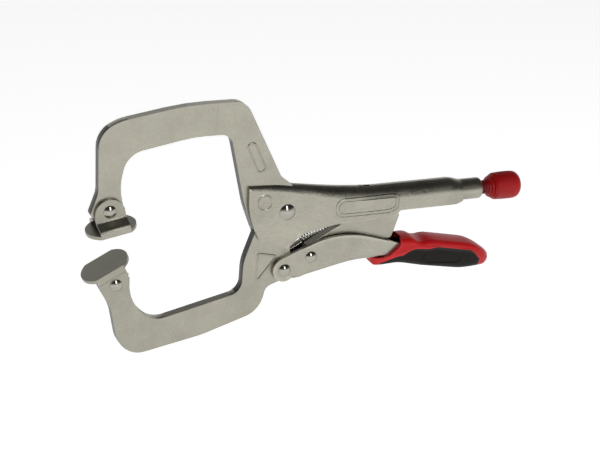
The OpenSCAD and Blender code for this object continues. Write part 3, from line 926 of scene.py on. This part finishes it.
def spring():
    start, end = np.array([11.6, -20.2]), np.array([44.0, -4.2])
    slope = atan2(end[1] - start[1], end[0] - start[0])
    length = float(np.linalg.norm(end - start))
    wire, coil, turns, hook_r, hook_z, leg = 0.55, 2.3, 20, 2.5, -12.4, 5.0
    path = [[-hook_r, 0, hook_z + leg], [-hook_r, 0, hook_z + leg / 2]]
    path += [[-hook_r * cos(a), 0, hook_z - hook_r * sin(a)] for a in np.linspace(0, pi, 15)]
    path += [[hook_r, 0, hook_z + 3], [hook_r, 0, -3.2], [hook_r, 0, -1.4]]
    path += [[coil * cos(a), coil * sin(a), length * a / (2 * pi * turns)]
             for a in np.linspace(0, 2 * pi * turns, turns * 24 + 1)]
    path += [[1, 0, length + 1.4], [0, 0, length + 3], [-1.5, 0, length + 5.5], [-3, 0, length + 7.5],
             [-4.5, 0, length + 9.5], [-7.9, 0, length + 13.4]]
    c, s = cos(slope), sin(slope)
    placed = [[start[0] + z * c + x * s, y, start[1] + z * s - x * c] for x, y, z in path]
    bm = bmesh.new()
    add_part(bm, tube(placed, wire))
    clean(bm)
    return piece("coil_spring", bm, "frame", ["return_spring"], [RIVET], 60)


spring()

# ---- studio ------------------------------------------------------------------------------------------

def camera():
    az, el, roll = radians(24.5), radians(21.4), radians(-3.3)
    ahead = Vector((sin(az) * cos(el), cos(az) * cos(el), -sin(el)))
    right = Vector((cos(az), -sin(az), 0))
    up = right.cross(ahead)
    r = right * cos(roll) - up * sin(roll)
    u = right * sin(roll) + up * cos(roll)
    data = bpy.data.cameras.new("camera")
    data.sensor_width, data.lens = 36.0, 88.75
    data.clip_start, data.clip_end = 0.05, 60
    cam = bpy.data.objects.new("camera", data)
    bpy.context.scene.collection.objects.link(cam)
    m = Matrix((r, u, -ahead)).transposed().to_4x4()
    m.translation = PIVOT + Vector((-0.3277, -0.7432, 0.3087))
    cam.matrix_world = m
    bpy.context.scene.camera = cam


def studio():
    size = 14.0
    bm = bmesh.new()
    bmesh.ops.create_grid(bm, x_segments=8, y_segments=8, size=size)
    mesh = bpy.data.meshes.new("floor")
    bm.to_mesh(mesh)
    bm.free()
    floor = bpy.data.objects.new("floor", mesh)
    floor.location = (0, 0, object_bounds()[0].z - 0.16)
    bpy.context.scene.collection.objects.link(floor)
    m, _, shader = material("pale_floor", Base_Color=(0.86, 0.86, 0.86, 1), Roughness=0.9,
                            Emission_Color=(1, 1, 1, 1), Emission_Strength=0.72)
    mesh.materials.append(m)
    floor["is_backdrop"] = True

    world = bpy.data.worlds.new("studio")
    bpy.context.scene.world = world
    world.use_nodes = True
    tree = world.node_tree
    coord = tree.nodes.new("ShaderNodeTexCoord")
    split = tree.nodes.new("ShaderNodeSeparateXYZ")
    tree.links.new(coord.outputs["Generated"], split.inputs[0])
    front = ramp(tree, split.outputs["Z"], [(0.0, 0.95), (0.08, 0.60), (0.20, 0.07), (1.0, 0.05)])
    back = ramp(tree, split.outputs["Z"], [(0.0, 0.95), (0.12, 0.90), (0.40, 0.85), (0.48, 0.10),
                                           (1.0, 0.08)])
    sky = mix(tree, "MIX", front, back, ramp(tree, split.outputs["Y"], [(0.0, 0.0), (0.3, 1.0)]))
    tree.links.new(sky, tree.nodes["Background"].inputs["Color"])

    def area(name, at, aim, w, h, watts, mirrored=True):
        data = bpy.data.lights.new(name, "AREA")
        data.shape, data.size, data.size_y, data.energy = "RECTANGLE", w, h, watts
        o = bpy.data.objects.new(name, data)
        o.location = at
        o.rotation_mode = "QUATERNION"
        o.rotation_quaternion = (Vector(aim) - Vector(at)).to_track_quat("-Z", "Y")
        o.visible_glossy = mirrored
        bpy.context.scene.collection.objects.link(o)

    centre = (0.12, 0, 0)
    area("key", (-0.9, -1.5, 1.3), centre, 0.7, 0.7, 14, False)
    area("fill", (1.5, -1.3, 0.8), centre, 0.9, 0.9, 9, False)
    area("bar", (0.38, -1.7, 0.78), centre, 0.34, 1.1, 9)
    bpy.context.scene.view_settings.view_transform = "Standard"


camera()
studio()
